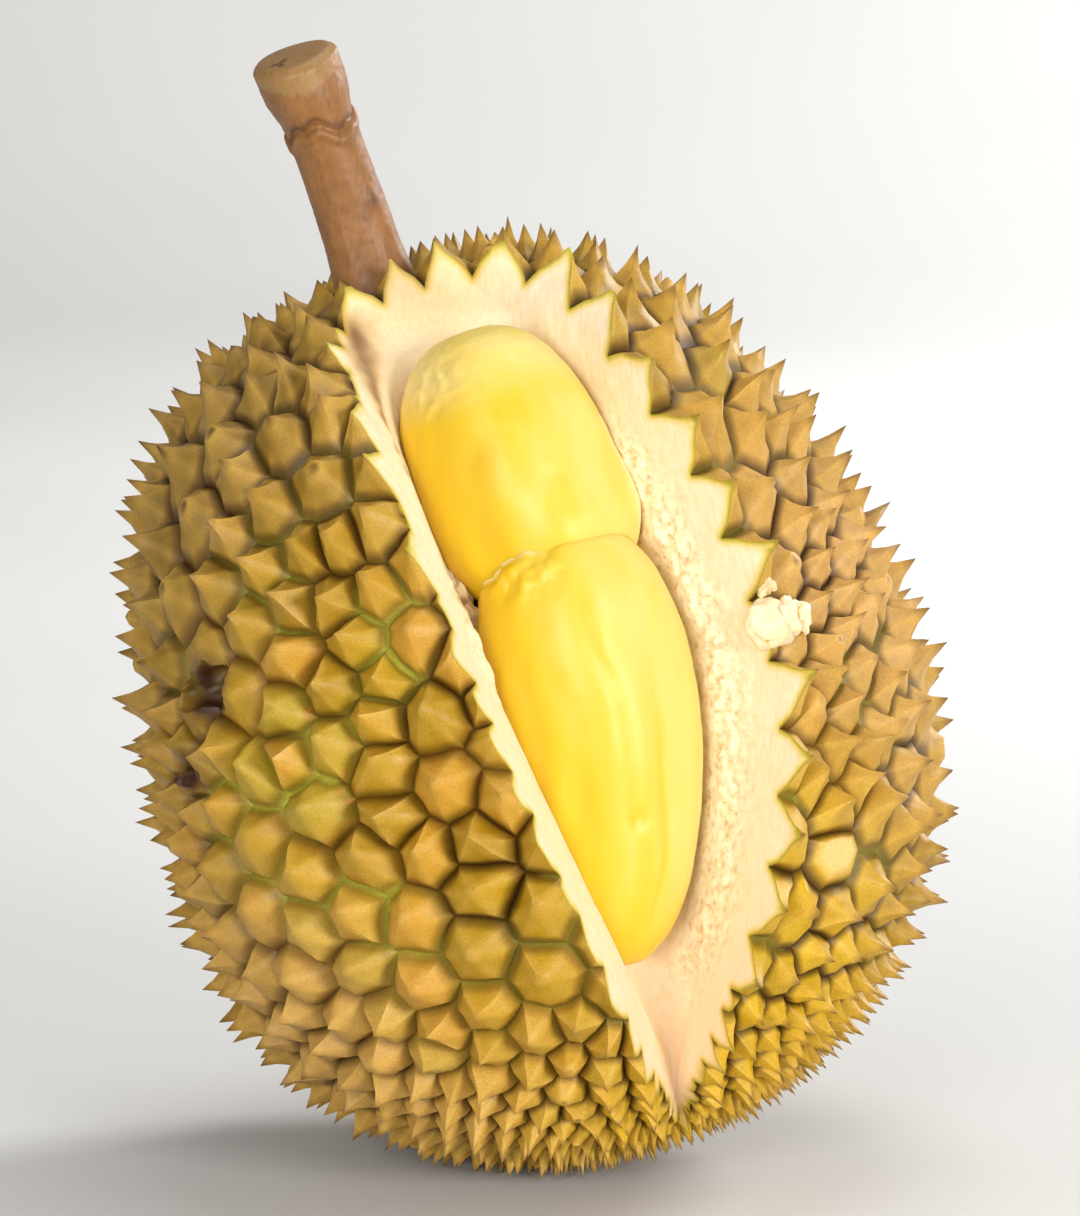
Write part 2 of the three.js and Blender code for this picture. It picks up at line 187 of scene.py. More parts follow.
def piece(bm, name, *materials):
    """A finished object of the bmesh, which is in the fruit's own frame."""
    bmesh.ops.transform(bm, matrix=PLACE, verts=bm.verts)
    bmesh.ops.triangulate(bm, faces=[f for f in bm.faces if len(f.verts) > 4])
    mesh = bpy.data.meshes.new(name)
    bm.to_mesh(mesh)
    bm.free()
    for material in materials:
        mesh.materials.append(material)
    mesh.shade_smooth()
    made = bpy.data.objects.new(name, mesh)
    bpy.context.collection.objects.link(made)
    return made


def cut(target, *cutters):
    """Takes the cutters out of the target, and removes them."""
    for cutter in cutters:
        modifier = target.modifiers.new("cut", "BOOLEAN")
        modifier.operation = "DIFFERENCE"
        modifier.solver = "MANIFOLD"
        modifier.object = cutter
        with bpy.context.temp_override(object=target, active_object=target):
            bpy.ops.object.modifier_apply(modifier=modifier.name)
        bpy.data.objects.remove(cutter)


def set_attribute(mesh, name, values):
    made = mesh.attributes.new(name, "FLOAT", "POINT")
    made.data.foreach_set("value", np.asarray(values, dtype=np.float32))


def points_of(mesh):
    points = np.empty(len(mesh.vertices) * 3, dtype=np.float32)
    mesh.vertices.foreach_get("co", points)
    return points.reshape(-1, 3)


# ---- materials -----------------------------------------------------------------------------------------

def linear(code):
    """The linear colour of an sRGB hex value."""
    parts = [int(code[i:i + 2], 16) / 255 for i in (1, 3, 5)]
    return [p / 12.92 if p <= 0.04045 else ((p + 0.055) / 1.055) ** 2.4 for p in parts] + [1.0]


def per_mm(size):
    """The scale of a pattern on Object coordinates whose features are size millimetres across."""
    return 1 / (size * MM)


def node(tree, kind, inputs=None, stops=None, **settings):
    """Adds a node: its settings, its colour stops, and its inputs as values or as outputs of other nodes."""
    made = tree.nodes.new(kind)
    for name, value in settings.items():
        setattr(made, name, value)
    for name, value in (inputs or {}).items():
        if isinstance(value, bpy.types.NodeSocket):
            tree.links.new(value, made.inputs[name])
        else:
            made.inputs[name].default_value = value
    if stops:
        ramp = made.color_ramp
        while len(ramp.elements) < len(stops):
            ramp.elements.new(0.5)
        for element, (position, colour) in zip(ramp.elements, stops):
            element.position = position
            element.color = linear(colour) if isinstance(colour, str) else [colour] * 3 + [1]
    return made


def new_material(name):
    material = bpy.data.materials.new(name)
    material.use_nodes = True
    material.node_tree.nodes.clear()
    return material, material.node_tree


FACTOR, FIRST, SECOND, RESULT = 0, 6, 7, 2  # sockets of a colour Mix node


def rind_material():
    """Durian rind: a fibrous, corky skin with a dull wax on it. Golden tan to olive spines with paler
    ridges, partly a painted highlight, dry brown tips, and crevices between them that are yellow-green or
    darkened with painted shade; the left flank is partly darkened with painted shade."""
    material, tree = new_material("durian_rind")
    place = node(tree, "ShaderNodeTexCoord").outputs["Object"]
    rise, tone, olive, rosy, gold, ridge, hollow_shade, wound, khaki_and_shade, foot_shade, lime, bare = [
        node(tree, "ShaderNodeAttribute", attribute_name=name).outputs["Fac"]
        for name in ("rise", "tone", "olive", "rosy", "gold", "ridge", "hollow_shade", "wound", "khaki_and_shade", "foot_shade",
                     "lime", "bare")]
    colour, olives, khaki_and_shade_colours = [
        node(tree, "ShaderNodeValToRGB", {0: tone}, stops=stops).outputs[0]
        for stops in ([(0.0, "#8C6A1A"), (0.4, "#AA8328"), (0.8, "#BC9238"), (1.0, "#A0832A")],
                      [(0.0, "#A07C10"), (0.35, "#B48C12"), (0.7, "#C48C28"), (1.0, "#A89224")],
                      [(0.0, "#785B20"), (0.5, "#8E702E"), (1.0, "#A28040")])]
    patches = node(tree, "ShaderNodeTexNoise", {"Vector": place, "Scale": per_mm(9), "Detail": 3.0})
    patch = node(tree, "ShaderNodeMapRange", {"Value": patches.outputs["Fac"], "From Min": 0.35,
                                               "From Max": 0.7, "To Max": 0.4}).outputs[0]
    # Painted shade darkens the feet of the spines and the hollows between them, less on the olive front;
    # yellow-green lies over the feet where the lime patches are
    dark, feet, sides = [
        node(tree, "ShaderNodeMapRange", {"Value": rise, "From Min": low, "From Max": high,
                                          "To Min": share, "To Max": 0.0}).outputs[0]
        for low, high, share in ((0.0, 0.3, foot_shade), (0.02, 0.14, lime), (0.1, 0.55, lime))]
    side = node(tree, "ShaderNodeMath", {0: sides, 1: 0.4}, operation="MULTIPLY").outputs[0]
    tips = node(tree, "ShaderNodeMapRange", {"Value": rise, "From Min": 0.78, "From Max": 0.99}).outputs[0]
    worn = node(tree, "ShaderNodeMapRange", {"Value": olive, "To Min": 0.85, "To Max": 0.1}).outputs[0]
    tip = node(tree, "ShaderNodeMath", {0: tips, 1: worn}, operation="MULTIPLY").outputs[0]
    # The khaki layer is a khaki tint and partly painted shade that darkens the left flank
    for share, layer in ((khaki_and_shade, khaki_and_shade_colours), (olive, olives), (rosy, linear("#D0A462")),
                         (gold, linear("#D2A814")), (patch, linear("#B98B2C")),
                         # the ridge layer paints the ridges paler, partly as a highlight
                         (ridge, linear("#D4A84C")), (side, linear("#9A9A1C")),
                         (dark, linear("#54340A")), (hollow_shade, linear("#3E2406")), (feet, linear("#CCC850")),
                         (tip, linear("#5A3716")), (wound, linear("#38120A")), (bare, linear("#E2C070"))):
        colour = node(tree, "ShaderNodeMix", {FACTOR: share, FIRST: colour, SECOND: layer},
                      data_type="RGBA").outputs[RESULT]

    # Cork specks, a fifth of a millimetre in life and drawn at half a millimetre so that they show
    specks = node(tree, "ShaderNodeTexNoise", {"Vector": place, "Scale": per_mm(0.5), "Detail": 2.0})
    speck = node(tree, "ShaderNodeMapRange", {"Value": specks.outputs["Fac"], "From Min": 0.3,
                                               "From Max": 0.7, "To Min": 0.86, "To Max": 1.1}).outputs[0]
    colour = node(tree, "ShaderNodeMix", {FACTOR: 1.0, FIRST: colour, SECOND: speck},
                  data_type="RGBA", blend_type="MULTIPLY").outputs[RESULT]
    roughness = node(tree, "ShaderNodeMapRange", {"Value": patches.outputs["Fac"], "From Min": 0.3,
                                                   "From Max": 0.7, "To Min": 0.4, "To Max": 0.6})
    fibres = node(tree, "ShaderNodeBump", {"Height": specks.outputs["Fac"], "Strength": 0.25,
                                           "Distance": 0.3 * MM}).outputs[0]
    shader = node(tree, "ShaderNodeBsdfPrincipled", {
        "Base Color": colour, "Normal": fibres, "Roughness": roughness.outputs[0], "IOR": 1.4})
    node(tree, "ShaderNodeOutputMaterial", {"Surface": shader.outputs[0]})
    return material


def pith_material():
    """Durian pith, freshly cut: a dense, damp, cream sponge that light sinks into, with faint fibres, a thin
    green line under the skin, brown painted shade in the gap by the hollow and at the top of the cut, brown
    stains by the torn lump and a crumbly torn band beside the flesh."""
    material, tree = new_material("cut_pith")
    place = node(tree, "ShaderNodeTexCoord").outputs["Object"]
    depth, stain_and_shade, pink, torn = [node(tree, "ShaderNodeAttribute", attribute_name=name).outputs["Fac"]
                                for name in ("depth", "stain_and_shade", "pink", "torn")]

    long_place = node(tree, "ShaderNodeMapping", {"Vector": place, "Scale": (1, 1, 0.25)}).outputs[0]
    fibre = node(tree, "ShaderNodeTexNoise", {"Vector": long_place, "Scale": per_mm(1.2),
                                               "Detail": 4.0}).outputs["Fac"]
    colour = node(tree, "ShaderNodeValToRGB", {0: fibre}, stops=[
        (0.3, "#F6DDB2"), (0.5, "#F9E4C0"), (0.7, "#FBEACC")]).outputs[0]
    crumbs = node(tree, "ShaderNodeTexNoise", {"Vector": place, "Scale": per_mm(2), "Detail": 5.0,
                                                "Roughness": 0.65}).outputs["Fac"]
    crumb = node(tree, "ShaderNodeValToRGB", {0: crumbs}, stops=[
        (0.34, "#D2B282"), (0.42, "#ECD3A4"), (0.52, "#F8E4C0"), (0.66, "#FCEED2")]).outputs[0]
    # Brown for painted shade in the gap and at the top of the cut, and for the stains by the torn lump
    stain_and_shade_colour = node(tree, "ShaderNodeValToRGB", {0: stain_and_shade}, stops=[
        (0.15, "#E8BC60"), (0.5, "#C4902C"), (0.9, "#7A4E08")]).outputs[0]
    rim = node(tree, "ShaderNodeValToRGB", {0: depth}, stops=[
        (0.0, "#999B2A"), (0.05, "#C9C85A"), (0.12, "#F3ECB4"), (0.24, "#FFFFFF")]).outputs[0]
    for share, layer, blend in ((pink, linear("#F8D8B2"), "MIX"), (torn, crumb, "MIX"),
                                (stain_and_shade, stain_and_shade_colour, "MIX"), (1.0, rim, "MULTIPLY")):
        colour = node(tree, "ShaderNodeMix", {FACTOR: share, FIRST: colour, SECOND: layer},
                      data_type="RGBA", blend_type=blend).outputs[RESULT]
    sponge = node(tree, "ShaderNodeTexNoise", {"Vector": place, "Scale": per_mm(0.7), "Detail": 3.0})
    relief = node(tree, "ShaderNodeBump", {"Height": sponge.outputs["Fac"], "Strength": 0.25,
                                           "Distance": 0.4 * MM}).outputs[0]
    shader = node(tree, "ShaderNodeBsdfPrincipled", {
        "Base Color": colour, "Normal": relief, "Roughness": 0.55, "Subsurface Weight": 0.3,
        "Subsurface Radius": (1.0, 0.6, 0.3), "Subsurface Scale": 3 * MM})
    node(tree, "ShaderNodeOutputMaterial", {"Surface": shader.outputs[0]})
    return material


def flesh_material():
    """Ripe durian flesh: a custard-soft skin over pulp, moist, so it is satin with light sinking in. It is
    golden down its left side and in its creases and pale lemon towards the right, partly its own colour and
    partly painted shade and painted light, and its torn skin is almost white along the seam, partly a
    painted highlight."""
    material, tree = new_material("ripe_flesh")
    place = node(tree, "ShaderNodeTexCoord").outputs["Object"]
    deep = node(tree, "ShaderNodeAttribute", attribute_name="deep").outputs["Fac"]
    pale = node(tree, "ShaderNodeAttribute", attribute_name="pale").outputs["Fac"]
    long_place = node(tree, "ShaderNodeMapping", {"Vector": place, "Scale": (1, 1, 0.18)}).outputs[0]
    streak = node(tree, "ShaderNodeTexNoise", {"Vector": long_place, "Scale": per_mm(10),
                                                "Detail": 3.0}).outputs["Fac"]
    shift = node(tree, "ShaderNodeMapRange", {"Value": streak, "From Min": 0.3, "From Max": 0.7,
                                               "To Min": -0.2, "To Max": 0.2}).outputs[0]
    ripe = node(tree, "ShaderNodeMath", {0: deep, 1: shift}, operation="ADD", use_clamp=True).outputs[0]
    colour = node(tree, "ShaderNodeValToRGB", {0: ripe}, stops=[
        (0.0, "#E5C96A"), (0.3, "#E0BF3A"), (0.6, "#DCB810"), (1.0, "#CA9E02")]).outputs[0]
    colour = node(tree, "ShaderNodeMix", {FACTOR: pale, FIRST: colour, SECOND: linear("#F8E9B4")},
                  data_type="RGBA").outputs[RESULT]
    wrinkle = node(tree, "ShaderNodeTexNoise", {"Vector": long_place, "Scale": per_mm(2.2),
                                                 "Detail": 3.0})
    relief = node(tree, "ShaderNodeBump", {"Height": wrinkle.outputs["Fac"], "Strength": 0.12,
                                           "Distance": 0.5 * MM}).outputs[0]
    shader = node(tree, "ShaderNodeBsdfPrincipled", {
        "Base Color": colour, "Normal": relief, "Roughness": 0.46, "Subsurface Weight": 0.35,
        "Subsurface Radius": (0.8, 0.65, 0.2), "Subsurface Scale": 4 * MM, "Coat Weight": 0.08,
        "Coat Roughness": 0.3})
    node(tree, "ShaderNodeOutputMaterial", {"Surface": shader.outputs[0]})
    return material


def bark_material():
    """Fruit stalk bark: thin brown bark with a dull sheen, finely wrinkled along its length and mottled
    with paler scuffs and dark pores."""
    material, tree = new_material("stalk_bark")
    place = node(tree, "ShaderNodeTexCoord").outputs["Object"]
    mark = node(tree, "ShaderNodeAttribute", attribute_name="mark").outputs["Fac"]
    sawn = node(tree, "ShaderNodeAttribute", attribute_name="sawn").outputs["Fac"]
    long_place = node(tree, "ShaderNodeMapping", {"Vector": place, "Scale": (1, 1, 0.3)}).outputs[0]
    mottle = node(tree, "ShaderNodeTexNoise", {"Vector": place, "Scale": per_mm(9), "Detail": 5.0})
    colour = node(tree, "ShaderNodeValToRGB", {0: mottle.outputs["Fac"]}, stops=[
        (0.3, "#7E5224"), (0.5, "#8A5C2C"), (0.7, "#966636")]).outputs[0]
    colour = node(tree, "ShaderNodeMix", {FACTOR: sawn, FIRST: colour, SECOND: linear("#96703F")},
                  data_type="RGBA").outputs[RESULT]
    pores = node(tree, "ShaderNodeTexNoise", {"Vector": long_place, "Scale": per_mm(1.1), "Detail": 3.0})
    pore = node(tree, "ShaderNodeMapRange", {"Value": pores.outputs["Fac"], "From Min": 0.32,
                                              "From Max": 0.5, "To Min": 0.82, "To Max": 1.03}).outputs[0]
    colour = node(tree, "ShaderNodeMix", {FACTOR: 1.0, FIRST: colour, SECOND: pore},
                  data_type="RGBA", blend_type="MULTIPLY").outputs[RESULT]
    colour = node(tree, "ShaderNodeMix", {FACTOR: mark, FIRST: colour, SECOND: linear("#5A361B")},
                  data_type="RGBA").outputs[RESULT]
    relief = node(tree, "ShaderNodeBump", {"Height": pores.outputs["Fac"], "Strength": 0.3,
                                           "Distance": 0.4 * MM}).outputs[0]
    shader = node(tree, "ShaderNodeBsdfPrincipled", {
        "Base Color": colour, "Normal": relief, "Roughness": 0.5})
    node(tree, "ShaderNodeOutputMaterial", {"Surface": shader.outputs[0]})
    return material


# ---- the body's surface --------------------------------------------------------------------------------

def body_radius(d):
    """Distance from the centre to the surface between the spines, in a direction."""
    power, height = (TOP_FULLNESS, TOP_HEIGHT) if d.z > 0 else (BOTTOM_FULLNESS, BOTTOM_HEIGHT)
    side = math.hypot(d.x, d.y)
    lobe = 1 + LOBE_RISE * side ** 3 * math.cos(LOBES * (math.atan2(d.x, -d.y) - 0.35))
    egg = 1 - EGG * d.z * side
    return ((side / (BODY_RADIUS * lobe * egg)) ** power + (abs(d.z) / height) ** power) ** (-1 / power)


def on_body(d):
    return d * body_radius(d)


def body_normal(d):
    side = Vector((-d.y, d.x, 0))
    if side.length < 1e-4:
        return Vector((0, 0, math.copysign(1, d.z)))
    side.normalize()
    up = d.cross(side)
    step = 0.02

    def at(s, t):
        return on_body((d + side * s + up * t).normalized())
    return (at(step, 0) - at(-step, 0)).cross(at(0, step) - at(0, -step)).normalized()


# ---- the spiny skin ------------------------------------------------------------------------------------

def crowding(angle):
    return 1 + 3.2 * bump(angle, math.pi, 0.5) + 0.9 * bump(angle, 0.2, 0.35)


def hull_of(sites):
    """The hull of the sites, with the layers that the spines are kept in, and its vertices in order."""
    bm = bmesh.new()
    bm.verts.layers.float.new("share")
    bm.faces.layers.int.new("spine")
    verts = [bm.verts.new(site) for site in sites]
    bmesh.ops.convex_hull(bm, input=verts)
    bm.normal_update()
    return bm, verts


def spine_sites(chance):
    """Where the spines stand on a unit sphere: a spiral that follows the crowding, shaken and evened."""
    steps = 600
    reach = math.pi - STALK_CLEARING
    share = [0]
    for i in range(steps):
        angle = STALK_CLEARING + reach * (i + 0.5) / steps
        share.append(share[i] + crowding(angle) * math.sin(angle))
    sites = [Vector((0, 0, 1))]
    turn = math.pi * (3 - math.sqrt(5))
    step = 0
    for i in range(SPINES):
        wanted = (i + 0.5) / SPINES * share[steps]
        while share[step + 1] < wanted:
            step += 1
        part = (wanted - share[step]) / (share[step + 1] - share[step])
        angle = STALK_CLEARING + reach * (step + part) / steps
        shake = 0.1 / math.sqrt(crowding(angle))
        polar = angle + shake * (chance.draw() - 0.5)
        around = i * turn + shake * (chance.draw() - 0.5) / max(math.sin(angle), 0.1)
        sites.append(Vector((math.sin(polar) * math.sin(around), -math.sin(polar) * math.cos(around),
                             math.cos(polar))))
    sites = evened(evened(sites, {0}), {0})
    sites, row = with_row(sites)
    return with_more(sites, row), row


def evened(sites, held):
    """The sites with each that isn't held moved part of the way to the middle of its cell."""
    bm, verts = hull_of(sites)
    moved = list(sites)
    for i, vert in enumerate(verts):
        if i not in held:
            middle = sum((face.normal for face in vert.link_faces), Vector()).normalized()
            moved[i] = sites[i].lerp(middle, 0.6).normalized()
    bm.free()
    return moved


def with_row(sites):
    """The sites with one row of them brought onto the edge of the opening, where the knife went through
    those spines from tip to foot, and for each of the row its place on the cut and the way out of the cut,
    into the husk. The others near it make room."""
    edge, inner = [rail([from_fruit(*p) for p in points]) for points in (RIGHT_EDGE, RIGHT_INNER)]
    wanted = [(from_fruit(*p), TOP_ROW_FACES) for p in TOP_ROW]
    last = None
    for i in range(401):
        v = 1 - i / 400
        spot = edge(v)
        if not ROW_ENDS[0] <= spot.z <= ROW_ENDS[1]:
            continue
        if last and spot.angle(last) < ROW_PITCH / math.sqrt(crowding(math.acos(spot.z / spot.length))):
            continue
        across = spot - inner(v)
        across.z = 0
        faces = across.cross(edge(v - 0.01) - edge(v + 0.01)).normalized()
        wanted.append((spot, faces if faces.x > 0 else -faces))
        last = spot
    row, cuts = {}, {}
    for spot, faces in wanted:
        free = [k for k in range(1, len(sites)) if k not in row]
        chosen = min(free, key=lambda k: sites[k].angle(spot))
        row[chosen] = spot.normalized()
        cuts[chosen] = (spot + faces * 0.4, faces)
    moved = [row.get(k, site) for k, site in enumerate(sites)]
    held = {k for k, site in enumerate(moved)
            if k == 0 or k in row or all(spot.angle(site) > ROW_REACH for spot in row.values())}
    for _ in range(3):
        moved = evened(moved, held)
    return moved, cuts


def middles_of(sites):
    """The middle of each three neighbouring sites."""
    bm, _ = hull_of(sites)
    middles = [face.calc_center_median().normalized() for face in bm.faces]
    bm.free()
    return middles


def with_more(sites, row):
    """The sites with more between them: small spines crowd together towards the blossom end, and some have
    come up between the others everywhere but along the row and in the middle of the front."""
    chance = Chance(8101)
    middles = middles_of(sites)
    added = []
    for spot in middles:
        small = smooth(math.acos(spot.z), *SMALL_ONES)
        broad = bump(spot.angle(BROAD_ONES), 0, 0.5)
        free = min(spot.angle(sites[k]) for k in row) > 0.16 and spot.z < 0.97
        if chance.draw() < max(small, MORE * free * (1 - broad)) and all(
                spot.angle(other) > 0.75 * math.sqrt(4 / SPINES / crowding(math.acos(spot.z)))
                for other in added if small < 0.2):
            added.append(spot)
    held = set(row) | {0}
    grown = evened(sites + added, held)
    tiny = [spot for spot in middles_of(grown) if spot.angle(-UP) < TINY_ONES * (0.7 + 0.6 * chance.draw())
            and min(spot.angle(sites[k]) for k in row) > 0.07]
    return evened(grown + tiny, held)


def spine_rise(t, plump):
    """Height up a spine, from 0 at its foot to 1 at its tip. A plump one swells out of its foot."""
    swept = 0.4 * t + 0.6 * t ** 3.2
    swollen = 0.74 * (1 - (1 - t) ** 3.4) + 0.26 * t ** 4
    return swept + (swollen - swept) * plump


def spine_at(sites, spot):
    return min(range(len(sites)), key=lambda k: (on_body(sites[k]) - spot).length)


def cells_of(sites):
    """The skin as flat cells round the sites, each a fan of faces about its spine's tip. It gives the bmesh
    and the tips in the order of the sites."""
    bm, tips = hull_of(sites)
    share = bm.verts.layers.float["share"]
    for tip in tips:
        tip[share] = 1.0
    between = bm.edges[:]
    corners = bmesh.ops.poke(bm, faces=bm.faces)["verts"]
    spots = []
    for corner in corners:
        a, b, c = [edge.other_vert(corner).co for edge in corner.link_edges]
        away = (b - a).cross(c - a).normalized()
        spots.append(on_body(away if away.dot(a) > 0 else -away))
    bmesh.ops.rotate_edges(bm, edges=between)
    for corner, spot in zip(corners, spots):
        corner[share] = 0.0
        corner.co = spot
    return bm, tips


def spiny_skin():
    """The whole skin, with a spine on each cell round a site. It gives the bmesh and, for each spine, its
    site. Vertices carry how far up their spine they are, and faces which spine they are on."""
    chance, shapes = Chance(20731), Chance(4177)
    sites, row = spine_sites(chance)
    scar = spine_at(sites, SCAR)
    bm, tips = cells_of(sites)
    share = bm.verts.layers.float["share"]
    spine = bm.faces.layers.int["spine"]
    facts = []
    for i, tip in enumerate(tips):
        for face in tip.link_faces:
            face[spine] = i
        angle = math.acos(max(-1, min(1, sites[i].z)))
        height = SPINE_HEIGHT * (1 - 0.38 * bump(angle, math.pi, 0.6) - 0.25 * bump(angle, 0, 0.5))
        height *= 0.88 + 0.24 * chance.draw()
        hook = Vector((chance.draw() - 0.5, chance.draw() - 0.5, 0.6 + chance.draw() - 0.5))
        ring = []
        for edge in tip.link_edges:
            corner = edge.other_vert(tip).co
            if all((corner - kept).length > SHORTEST_FOOT for kept in ring):
                ring.append(corner)
        tip.co = sum(ring, Vector()) / len(ring)
        normal = body_normal(sites[i])
        if i in row:
            where, faces = row[i]
            tip.co -= faces * (tip.co - where).dot(faces)
            normal = (normal - faces * normal.dot(faces)).normalized()
            hook -= faces * hook.dot(faces)
        elif i:
            reach = sum((corner - tip.co).length for corner in ring) / len(ring)
            tip.co += (UP - normal * normal.z).normalized() * (reach * STOOP * (0.5 + shapes.draw()))
        plump = max(bump(sites[i].angle(BROAD_ONES), 0, 0.75), 0.45 * (i in row))
        height *= ROW_HEIGHT * (1 - 0.12 * shapes.draw()) if i in row else 0.95 - 0.22 * shapes.draw()
        height *= 1 - max(less * bump((on_body(sites[i]) - spot).length, 0, size)
                          for spot, size, less in LOW_ONES)
        blunt = 0.72 + 0.2 * shapes.draw() if shapes.draw() < 0.12 and i not in row else 1
        if i == scar:
            blunt = SCAR_SHARE
        facts.append((normal, 0.5 if i == 0 else height, hook, plump, blunt))
    bmesh.ops.subdivide_edges(bm, edges=bm.edges, cuts=SPINE_CUTS, use_grid_fill=True)
    for vert in bm.verts:
        t = vert[share]
        normal, height, hook, plump, blunt = facts[vert.link_faces[0][spine]]
        rough = 0.3 * grain(vert.co, 5) + 0.16 * grain(vert.co, 2, 3)
        t = min(t, blunt)
        warp = noise.noise_vector(vert.co / 9) * 1.3 + noise.noise_vector(vert.co / 4) * 0.45
        sunk = (1.2 - plump) * (1 - smooth(t, 0, 0.28))
        vert.co += (normal * (height * spine_rise(t, plump) - sunk + rough * smooth(t, 0, 0.3) * (1 - t))
                    + hook * (HOOK * height * t ** 2.4) + (warp - normal * warp.dot(normal)) * (1 - t))
    return bm, sites


# ---- the opening ---------------------------------------------------------------------------------------

# Shares of the way round the cutter: outside the husk to its front, then the right cut, then the hollow
TO_FRONT, TO_HOLLOW, TO_LEFT_CUT = 0.06, 0.5, 0.7

TORN_STEPS = 160
TORN = KDTree(2 * TORN_STEPS)
for side_number, side_rail in enumerate((RIGHT_INNER, LEFT_INNER)):
    side_curve = rail([from_fruit(*p) for p in side_rail])
    for step_number in range(TORN_STEPS):
        TORN.insert(side_curve(step_number / (TORN_STEPS - 1)), side_number * TORN_STEPS + step_number)
TORN.balance()


def torn_share(point):
    """How much the pith is torn and crumbly at a point: beside the flesh, where it was pulled away."""
    _, index, away = TORN.find(point)
    near_right = index < TORN_STEPS
    height = point.z
    if near_right:
        return bump(away, 0, 9.5) * smooth(height, -84, -50) * (1 - smooth(height, 55, 78))
    return bump(away, 0, 3.5) * bump(height, 33, 17)


def opening_cutter():
    """What the opening takes away: the two knife cuts, and the hollow between their inner edges."""
    left, left_in, right_in, right = [rail([from_fruit(*p) for p in points]) for points in
                                      (LEFT_EDGE, LEFT_INNER, RIGHT_INNER, RIGHT_EDGE)]
    depth = rail([(0, d, i) for i, d in enumerate(HOLLOW_DEPTH)])
    sections = {}

    def section(v):
        key = round(v, 6)
        if key in sections:
            return sections[key]
        edges, inners = (left(v), right(v)), (left_in(v), right_in(v))
        outs = []
        for edge, inner, fallback in zip(edges, inners, ((-0.3, -1, 0), (0.4, -1, 0))):
            out = edge - inner
            out.z = 0
            if out.length < 2:
                out = Vector(fallback)
            outs.append(edge + out.normalized() * KNIFE_REACH)
        middle = (edges[0] + edges[1]) / 2
        front = middle + Vector((middle.x, middle.y, 0)).normalized() * LOBE_REACH
        chord = inners[0] - inners[1]
        chord.z = 0
        chord.normalize()
        inward = Vector((chord.y, -chord.x, 0))
        sections[key] = (outs[0], front, outs[1], inners[1], inners[0], inward, depth(v).y)
        return sections[key]

    def place(v, u):
        out_left, front, out_right, inner_right, inner_left, inward, deep = section(v)
        if u < TO_FRONT:
            return out_left.lerp(front, u / TO_FRONT)
        if u < 2 * TO_FRONT:
            return front.lerp(out_right, (u - TO_FRONT) / TO_FRONT)
        if u < TO_HOLLOW:
            return out_right.lerp(inner_right, (u - 2 * TO_FRONT) / (TO_HOLLOW - 2 * TO_FRONT))
        if u < TO_LEFT_CUT:
            part = (u - TO_HOLLOW) / (TO_LEFT_CUT - TO_HOLLOW)
            return inner_right.lerp(inner_left, part) + inward * (deep * math.sin(math.pi * part) ** 0.75)
        return inner_left.lerp(out_left, (u - TO_LEFT_CUT) / (1 - TO_LEFT_CUT))

    bm = skin(*OPENING_GRID, place)
    for face in bm.faces:
        face.material_index = 1
    bm.normal_update()
    moves = []
    for vert in bm.verts:
        co = vert.co
        thin = smooth(co.z, -96, -78)
        wave = 0.5 * grain(co, 16, 1) + 0.2 * grain(co, 5, 2) + 0.07 * grain(co, 1.6, 4)
        torn = torn_share(co)
        if torn > 0.01:
            wave += torn * (0.3 - 2.0 * abs(grain(co, 3.4, 7)) - 1.1 * abs(grain(co, 1.5, 9))) - torn ** 4
        moves.append(vert.normal * (wave * thin))
    for vert, move in zip(bm.verts, moves):
        vert.co += move
    return bm


# ---- the flesh pods ------------------------------------------------------------------------------------

def pod_surface(spec, extra=0.0, detail=None):
    """A pod about its own long axis, from the lower end to the upper, swollen by extra on all sides. detail
    gives how far the surface moves at a height from -1 to 1, a bearing and a point."""
    start, end = from_fruit(*spec["lower"]), from_fruit(*spec["upper"])
    axis = end - start
    half = axis.length / 2 + extra
    axis.normalize()
    middle = start.lerp(end, 0.5)
    side = Vector((0, 1, 0)).cross(axis).normalized()
    back = axis.cross(side)
    phase = spec["phase"]

    def place(v, u):
        polar = math.pi * v
        up = -math.cos(polar)
        round_it = math.sin(polar)
        turn = 2 * math.pi * u
        girth = max(round_it, 0) ** (spec["blunt"] if up > 0 else 0.86) * (1 + spec["taper"] * (up - 0.2))
        crease = (math.cos(5 * turn + phase + 0.9 * up) + 0.6 * math.cos(3 * turn - 2 * phase)) * round_it
        grow = extra + spec["folds"] * crease
        point = (middle + axis * (up * half) + side * (math.cos(turn) * girth * (spec["width"] / 2 + grow))
                 + back * (math.sin(turn) * girth * (spec["depth"] / 2 + grow)))
        if detail:
            away = (side * math.cos(turn) + back * math.sin(turn)) * girth + axis * (up * 0.3)
            point += away.normalized() * detail(up, turn, point) if away.length > 1e-6 else Vector()
        return point
    return place


def pod(spec, extra=0.0, detail=None):
    return skin(*POD_GRID, pod_surface(spec, extra, detail))


def crease_depth(creases, seed, up, turn):
    """How far the creases sink a pod at a height from -1 to 1 and a bearing. Each crease has a bearing, a
    depth, a width, and the heights it runs between."""
    sunk = 0
    for bearing, depth, width, low, high in creases:
        wander = bearing + 0.12 * math.sin(3 * up + seed) + 0.05 * math.sin(9 * up)
        apart = (turn - wander + math.pi) % (2 * math.pi) - math.pi
        ends = smooth(up, low, low + 0.3) * (1 - smooth(up, high - 0.3, high))
        sunk += depth * bump(apart, 0, width) * ends
    return sunk


